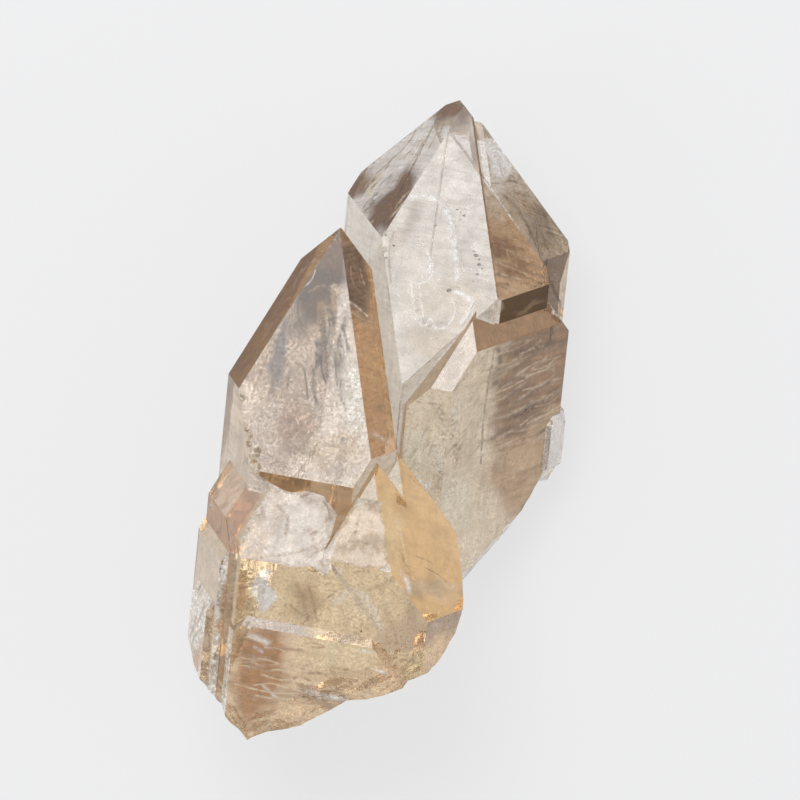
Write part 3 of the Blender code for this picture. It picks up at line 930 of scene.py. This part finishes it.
lowest = np.full(len(spots), np.iinfo(int).max)
highest = np.full(len(spots), np.iinfo(int).min)
np.minimum.at(lowest, corner_vert, corner_facet)
np.maximum.at(highest, corner_vert, corner_facet)
worn_vert = np.zeros(len(spots), int)
np.maximum.at(worn_vert, corner_vert, corner_worn)
inner = (lowest == highest) & (worn_vert == 0)
cross_share = np.zeros(len(spots))
np.maximum.at(cross_share, corner_vert, measures[:, MEASURES.index("cross")])
TO_CRYSTAL = Matrix((RIGHT, AXIS, RIGHT.cross(AXIS)))
waves = np.array([noise.noise(TO_CRYSTAL @ spot * WAVE_SCALE) for spot in spots])
lift = inner * (waves * (WAVE + WAVE_OF_CROSS * cross_share) - sink)
moved = np.array(spots) + normals * lift[:, None]
stone_mesh.vertices.foreach_set("co", moved.astype(np.float32).ravel())
worn = corner_worn.astype(float)
measures[:, 0] += worn * WORN_MILK
measures[:, 1] += worn * WORN_ROUGH
stone_mesh.shade_smooth()
stone_mesh.set_sharp_from_angle(angle=SHARP)
stone_mesh.update()
print("moved points:", int(inner.sum()), "deepest groove in mm:", round(float(sink.max() / MM), 2))


def write_corners(name, columns):
    """Stores four values for each corner, where the material reads them."""
    layer = stone_mesh.attributes.new(name, "FLOAT_COLOR", "CORNER")
    layer.data.foreach_set("color", np.clip(columns, 0, 2).astype(np.float32).ravel())


write_corners("tint", np.column_stack((np.clip(tints, 0, 1), np.clip(measures[:, 0], 0, 0.95))))
write_corners("streaks", measures[:, [2, 3, 4, 5]])
rough_layer = stone_mesh.attributes.new("rough", "FLOAT", "CORNER")
rough_layer.data.foreach_set("value", measures[:, 1].astype(np.float32))

# %% [markdown]
# A material is a graph of small nodes. This helper adds one node and joins it up in a line: a value that
# is another node's socket becomes a link, and any other value is set on the input.

# %% A helper for nodes
def add(tree, kind, settings=None, **inputs):
    """One node. An input is given by its name, or as i and its number."""
    node = tree.nodes.new("ShaderNode" + kind)
    for name, value in (settings or {}).items():
        setattr(node, name, value)
    for name, value in inputs.items():
        key = int(name[1:]) if name[0] == "i" and name[1:].isdigit() else name.replace("_", " ")
        if isinstance(value, bpy.types.NodeSocket):
            tree.links.new(value, node.inputs[key])
        else:
            node.inputs[key].default_value = value
    return node


def mixed(tree, share, first, second, blend="MIX"):
    """A colour between two colours."""
    node = add(tree, "Mix", {"data_type": "RGBA", "blend_type": blend}, i0=share, i6=first, i7=second)
    return node.outputs[2]


def maths(tree, operation, *values):
    """The result of a sum or the like."""
    inputs = {f"i{number}": value for number, value in enumerate(values)}
    return add(tree, "Math", {"operation": operation}, **inputs).outputs[0]


def spread(tree, value, low, high, to_low=0.0, to_high=1.0):
    """Maps a range of values onto another, with soft ends."""
    return add(
        tree, "MapRange", {"interpolation_type": "SMOOTHSTEP"},
        Value=value, From_Min=low, From_Max=high, To_Min=to_low, To_Max=to_high,
    ).outputs[0]


print("helpers ready")

# %% [markdown]
# The material reads the painted values and adds what is finer than the triangles. Growth lines run across
# the axis of every crystal: a noise that is stretched along the line and squeezed along the axis draws
# them, so the pattern's own axes are turned to match the crystal's.

# %% The stone's material
QUARTZ_IOR = 1.544
STONE_COLOUR = (0.86, 0.74, 0.50)
STONE_DENSITY = 7.0
DARK_STREAK = (0.36, 0.26, 0.17, 1)
BRIGHT_LINE = (0.97, 0.95, 0.92, 1)
CROSS_STRETCH, ALONG_STRETCH = (0.12, 1.0, 0.12), (1.0, 0.10, 1.0)
CRAZE_WIDTH = 0.030
CRAZE_TINT, CRAZE_MILK = 0.7, 0.4
RELIEF = 0.04 * MM
quartz = bpy.data.materials.new("quartz")
quartz.use_nodes = True
tree = quartz.node_tree
shader = tree.nodes["Principled BSDF"]
coords = add(tree, "TexCoord").outputs["Object"]

painted = add(tree, "Attribute", {"attribute_name": "tint"})
tint, milk = painted.outputs["Color"], painted.outputs["Alpha"]
streaks = add(tree, "Attribute", {"attribute_name": "streaks"})
parts = add(tree, "SeparateColor", i0=streaks.outputs["Color"]).outputs
speck_share, cross_share, along_share = parts[0], parts[1], parts[2]
craze_share = streaks.outputs["Alpha"]
rough = add(tree, "Attribute", {"attribute_name": "rough"}).outputs["Fac"]

# the crystal's own directions: x to the right, y along the axis, z to the front
turned = tuple(TO_CRYSTAL.to_euler())
own = add(tree, "Mapping", {"vector_type": "POINT"}, Vector=coords, Rotation=turned).outputs[0]
cross_way = add(tree, "Mapping", Vector=own, Scale=CROSS_STRETCH).outputs[0]
along_way = add(tree, "Mapping", Vector=own, Scale=ALONG_STRETCH).outputs[0]
cross = add(tree, "TexNoise", Vector=cross_way, Scale=1300.0, Detail=2.0).outputs[0]
along = add(tree, "TexNoise", Vector=along_way, Scale=1100.0, Detail=2.0).outputs[0]
speckles = add(tree, "TexNoise", Vector=coords, Scale=2300.0, Detail=2.0, Roughness=0.7).outputs[0]
ridge = add(
    tree, "TexNoise", Vector=coords, Scale=520.0, Detail=3.0, Roughness=0.6, Distortion=0.8
).outputs[0]

from_middle = maths(tree, "ABSOLUTE", maths(tree, "SUBTRACT", ridge, 0.5))
crazing = maths(
    tree, "MULTIPLY", spread(tree, from_middle, CRAZE_WIDTH, 0.0), spread(tree, speckles, 0.35, 0.65)
)
crazing = maths(tree, "MULTIPLY", crazing, craze_share)
dark = maths(tree, "MULTIPLY", spread(tree, speckles, 0.54, 0.36), speck_share)
for pattern, share in ((cross, cross_share), (along, along_share)):
    half_share = maths(tree, "MULTIPLY", share, 0.5)
    streak = maths(tree, "MULTIPLY", spread(tree, pattern, 0.58, 0.38), half_share)
    dark = maths(tree, "MAXIMUM", dark, streak)
tint = mixed(tree, dark, tint, DARK_STREAK, "MULTIPLY")
tint = mixed(tree, maths(tree, "MULTIPLY", crazing, CRAZE_TINT), tint, BRIGHT_LINE)
bright = spread(tree, speckles, 0.50, 0.75, 0.7, 1.8)
milk = maths(tree, "MULTIPLY_ADD", milk, bright, maths(tree, "MULTIPLY", crazing, CRAZE_MILK))
tree.links.new(tint, shader.inputs["Base Color"])
tree.links.new(maths(tree, "SUBTRACT", 1.0, milk), shader.inputs["Transmission Weight"])
tree.links.new(rough, shader.inputs["Roughness"])
shader.inputs["IOR"].default_value = QUARTZ_IOR

relief = maths(tree, "MULTIPLY", cross, cross_share)
relief = maths(tree, "MULTIPLY_ADD", along, along_share, relief)
relief = maths(tree, "MULTIPLY_ADD", speckles, maths(tree, "MULTIPLY", rough, 2.0), relief)
relief = maths(tree, "MULTIPLY_ADD", ridge, craze_share, relief)
bump = add(tree, "Bump", Height=relief, Strength=1.0, Distance=RELIEF).outputs[0]
tree.links.new(bump, shader.inputs["Normal"])

inside_stone = add(tree, "VolumeAbsorption", Color=(*STONE_COLOUR, 1), Density=STONE_DENSITY).outputs[0]
tree.links.new(inside_stone, tree.nodes["Material Output"].inputs["Volume"])
print("quartz:", len(tree.nodes), "nodes")

# %% [markdown]
# The finished skin stands for the whole CAD node and rides on the only body.

# %% The stone
stone = bpy.data.objects.new("stone", stone_mesh)
stone_mesh.materials.append(quartz)
scene.collection.objects.link(stone)
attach(stone, "root")
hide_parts("crystal_cluster")
print("stone:", len(stone_mesh.polygons), "faces")

# %% [markdown]
# Inside the stone lie healed cracks: thin wispy sheets that catch the light. Each is a ribbon through a few
# points of the map, a little below the surface, with a material that is mostly holes.

# %% Veils inside the stone
VEILS = [
    # points on the map, depth and width in millimetres
    ("436,200 448,214 455,240 459,268 455,292", 1, 1.6),
    ("414,290 418,316 430,326 446,324", 1.4, 1.2),
    ("334,286 342,296 348,314 352,336", 0.8, 1.8),
    ("322,308 326,346 333,388", 2, 1.5),
    ("350,380 356,420 362,462", 2, 1.6),
    ("262,420 272,446 296,466", 1.6, 1.4),
    ("440,398 450,430 452,470 440,496", 2, 2.4),
    ("404,470 420,484 440,488", 1.2, 1.8),
    ("505,356 530,348 556,338", 1.2, 1.2),
    ("498,420 522,410 548,396", 1.4, 1.2),
    ("300,664 340,668 384,662", 1.6, 2),
    ("392,540 400,560 412,584", 1.6, 1.6),
]
surface = BVHTree.FromPolygons(
    [vert.co for vert in stone_mesh.vertices], [polygon.vertices for polygon in stone_mesh.polygons]
)
RIBBON_STEP = 0.5 * MM
RIBBON_COLUMNS = 6
RIBBON_CURL = 0.5
RIBBON_DROOP = 0.8
CURL_SCALE = 400


def below(across, down, depth):
    """A point inside the stone, at a depth under the surface that the camera sees."""
    found = surface.ray_cast(place(across, down, HIGH), Vector((0, 0, -1)))
    return found[0] - Vector((0, 0, depth * MM))


bm = bmesh.new()
fade_layer = bm.verts.layers.float.new("fade")
for line, depth, width in VEILS:
    path = smooth_path([below(*pixel, depth) for pixel in pixels(line)], RIBBON_STEP)
    rows = []
    for number, point in enumerate(path):
        ahead = path[min(number + 1, len(path) - 1)] - path[max(number - 1, 0)]
        side = ahead.cross(Vector((0, 0, 1))).normalized()
        share_done = number / (len(path) - 1)
        row = []
        for column in range(RIBBON_COLUMNS + 1):
            share = column / RIBBON_COLUMNS * 2 - 1
            curl = noise.noise(point * CURL_SCALE + side * share) * RIBBON_CURL
            drop = (share * RIBBON_DROOP + curl) * width * MM * 0.5
            vert = bm.verts.new(point + side * share * width * MM * 0.5 - Vector((0, 0, abs(drop))))
            vert[fade_layer] = (1 - share ** 2) * math.sqrt(abs(math.sin(math.pi * share_done)))
            row.append(vert)
        rows.append(row)
    for first, second in zip(rows, rows[1:]):
        for column in range(RIBBON_COLUMNS):
            bm.faces.new((first[column], first[column + 1], second[column + 1], second[column]))
veil_mesh = bpy.data.meshes.new("veils")
bm.to_mesh(veil_mesh)
bm.free()
veil_mesh.shade_smooth()

VEIL_COVER = 0.9
SEE_THROUGH_BOUNCES = 24
veil_material = plain_material("veil", (0.97, 0.95, 0.93), 0.35)
tree = veil_material.node_tree
shader = tree.nodes["Principled BSDF"]
coords = add(tree, "TexCoord").outputs["Object"]
fine = add(tree, "TexNoise", Vector=coords, Scale=1500.0, Detail=4.0, Roughness=0.7).outputs[0]
fade = add(tree, "Attribute", {"attribute_name": "fade"}).outputs["Fac"]
cover = maths(tree, "MULTIPLY", spread(tree, fine, 0.42, 0.62), maths(tree, "MULTIPLY", fade, VEIL_COVER))
tree.links.new(cover, shader.inputs["Alpha"])
veil_mesh.materials.append(veil_material)
veils = bpy.data.objects.new("veils", veil_mesh)
scene.collection.objects.link(veils)
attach(veils, "root")
scene.cycles.transparent_max_bounces = SEE_THROUGH_BOUNCES
print("veils:", len(veil_mesh.polygons), "faces")

# %% [markdown]
# A few dark specks of another mineral sit close under the front of the main crystal.

# %% Dark specks
SPECKS = [
    # place on the map, length in millimetres
    ((457, 210), 0.4), ((461, 213), 0.3), ((464, 216), 0.5), ((460, 220), 0.25), ((436, 226), 0.35),
    ((468, 232), 0.2), ((474, 252), 0.45), ((476, 256), 0.7), ((479, 260), 0.4), ((479, 265), 0.6),
    ((482, 269), 0.35), ((477, 275), 0.45), ((473, 282), 0.25), ((449, 291), 0.75), ((386, 236), 0.3),
    ((394, 246), 0.4), ((386, 258), 0.4), ((391, 268), 0.25), ((362, 629), 0.35), ((446, 168), 0.2),
    ((432, 182), 0.2), ((470, 196), 0.2), ((402, 258), 0.2), ((462, 306), 0.25),
]
SPECK_DEPTH = 0.3
SPECK_BUMPS = 3000
SPECK_SHAPE = (1.0, 0.7, 0.5)
bm = bmesh.new()
for number, (pixel, length) in enumerate(SPECKS):
    made = bmesh.ops.create_icosphere(bm, subdivisions=2, radius=length * MM * 0.5)["verts"]
    middle = below(*pixel, SPECK_DEPTH)
    for vert in made:
        bumpy = 1 + 0.5 * noise.noise(vert.co * SPECK_BUMPS + Vector((number, 0, 0)))
        vert.co = middle + vert.co * bumpy * Vector(SPECK_SHAPE)
speck_mesh = bpy.data.meshes.new("specks")
bm.to_mesh(speck_mesh)
bm.free()
speck_mesh.materials.append(plain_material("speck", (0.07, 0.045, 0.03), 0.7))
specks = bpy.data.objects.new("specks", speck_mesh)
scene.collection.objects.link(specks)
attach(specks, "root")
print("specks:", len(SPECKS))
